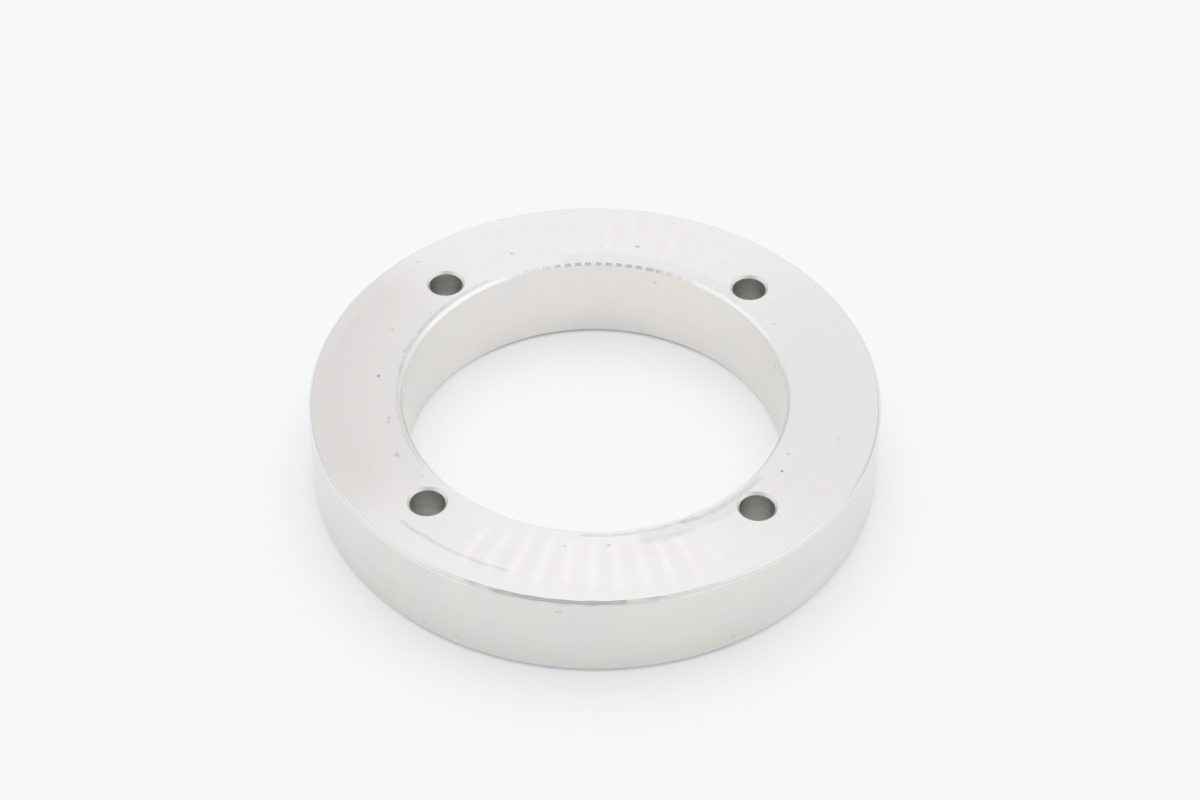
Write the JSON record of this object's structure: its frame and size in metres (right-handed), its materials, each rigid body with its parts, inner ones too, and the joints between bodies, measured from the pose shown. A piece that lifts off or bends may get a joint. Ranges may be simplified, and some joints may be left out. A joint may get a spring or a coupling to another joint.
{
  "type": "turned spacer ring",
  "caption": "Flat turned aluminium spacer ring with a wide plain bore, plain through holes on a pitch circle and chamfered edges.",
  "frame": {"origin": "centre of the bore on the back face, the face that the ring lies on", "axes": "+Z along the ring's axis, from the back face to the front face; the bolt holes lie on the diagonals between +X and +Y"},
  "size_m": [0.11, 0.11, 0.0185],
  "materials": {
    "machined_aluminium": "satin, as turned"
  },
  "bodies": {
    "root": {"turned_ring": "machined_aluminium"}
  },
  "joints": []
}
